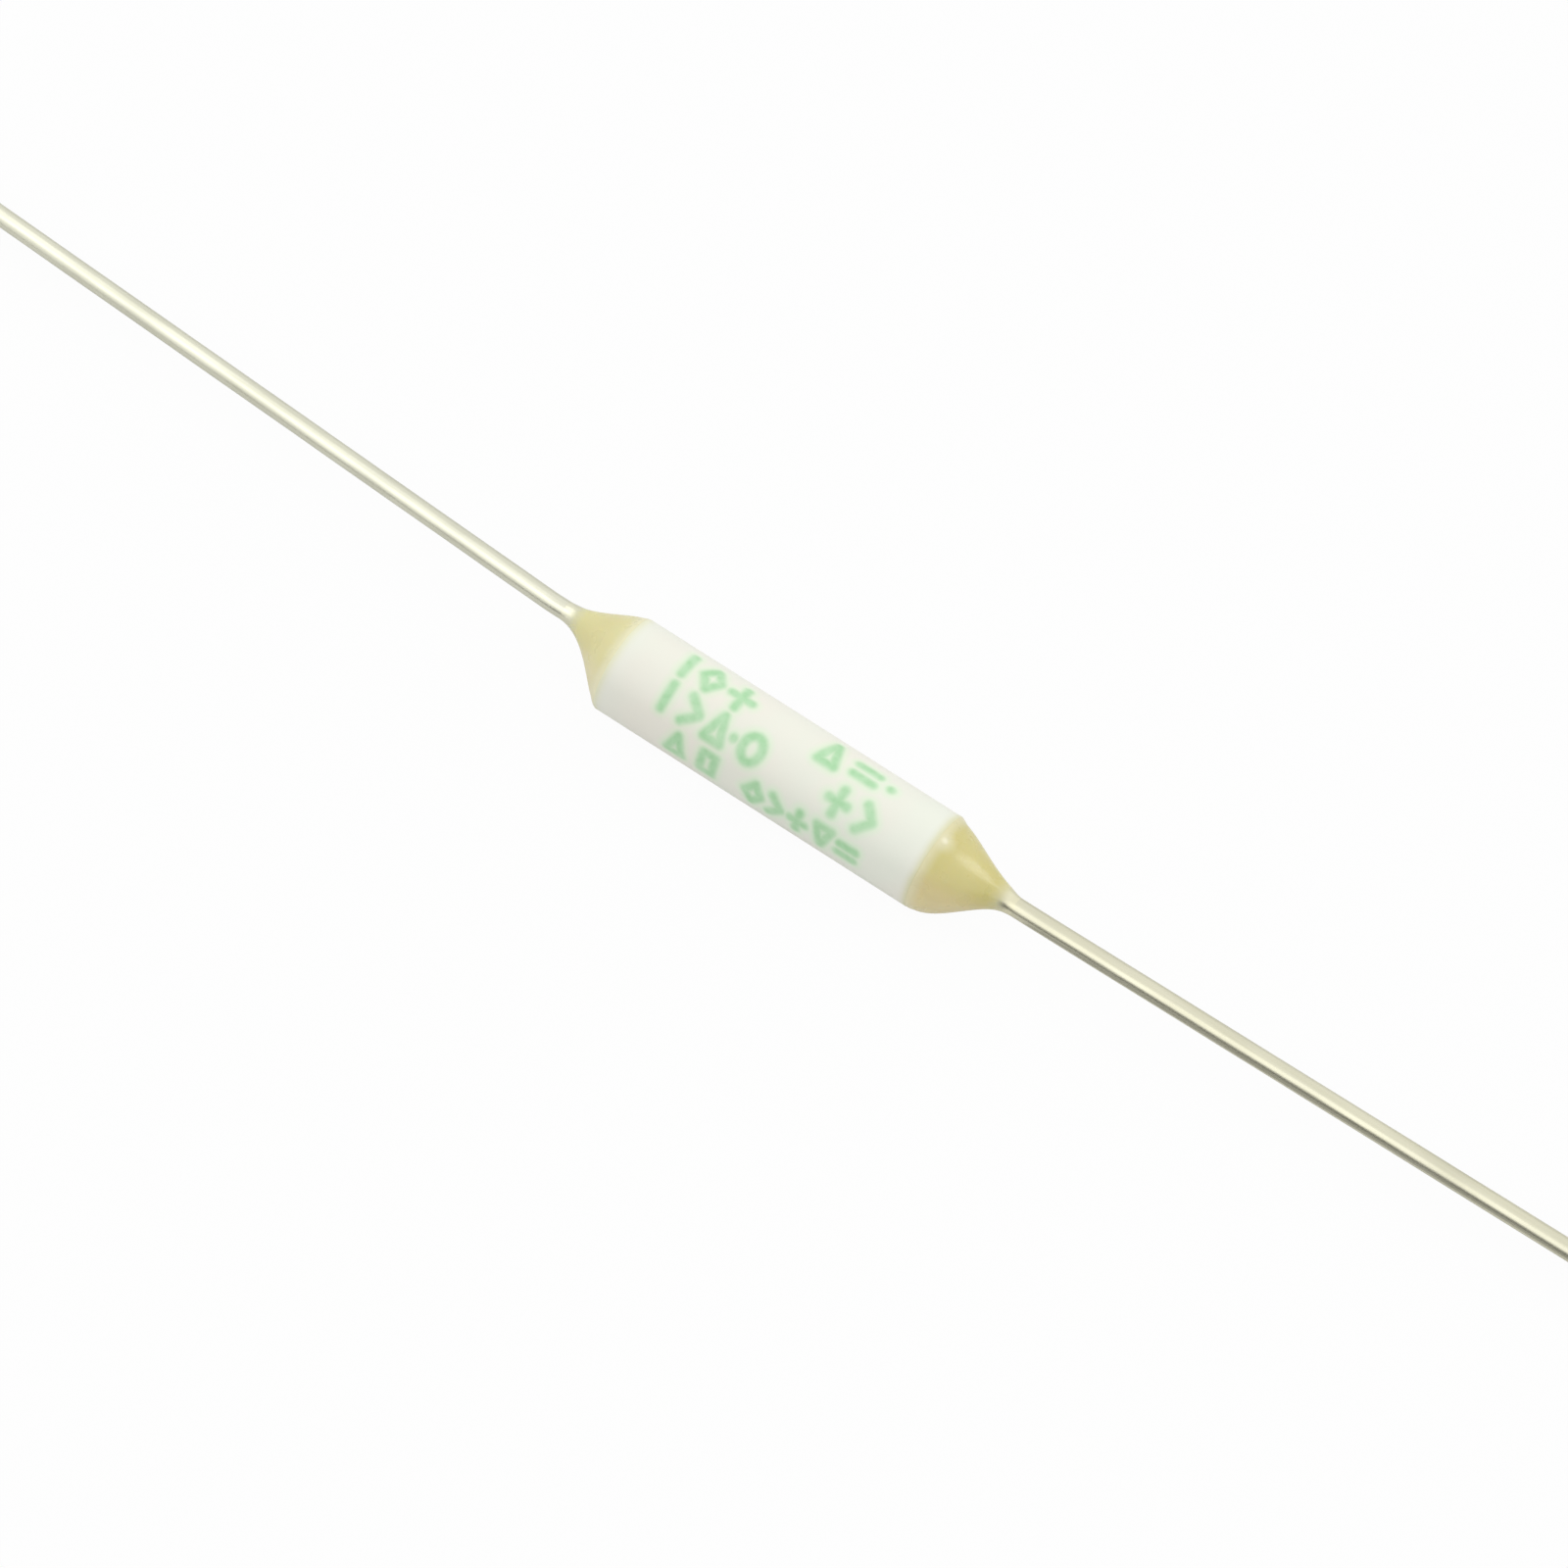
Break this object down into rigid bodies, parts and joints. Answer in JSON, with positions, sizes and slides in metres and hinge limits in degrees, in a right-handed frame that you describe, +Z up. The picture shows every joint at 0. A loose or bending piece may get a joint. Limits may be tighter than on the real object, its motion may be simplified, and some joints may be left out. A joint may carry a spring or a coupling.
{
  "type": "thermal fuse",
  "caption": "Axial thermal fuse: white ceramic tube with resin-sealed ends and tinned wire leads, holding a flux-coated fusible alloy link.",
  "frame": {"origin": "the middle of the ceramic tube, on its axis", "axes": "+X along the tube, towards the right lead; +Z up, away from the surface that the fuse lies on; +Y across, to the side that both leads splay to"},
  "size_m": [0.0663, 0.0033, 0.0024],
  "materials": {
    "white_ceramic": "satin",
    "tinned_copper": "polished",
    "fusible_alloy": "satin",
    "amber_flux": "gloss",
    "sealing_resin": "gloss",
    "green_ink": "matte"
  },
  "bodies": {
    "root": {"ceramic_tube": "white_ceramic", "lead_wire_left": "tinned_copper", "lead_wire_right": "tinned_copper", "fusible_link": "fusible_alloy", "flux_coat": "amber_flux", "end_seal_left": "sealing_resin", "end_seal_right": "sealing_resin"}
  },
  "joints": []
}
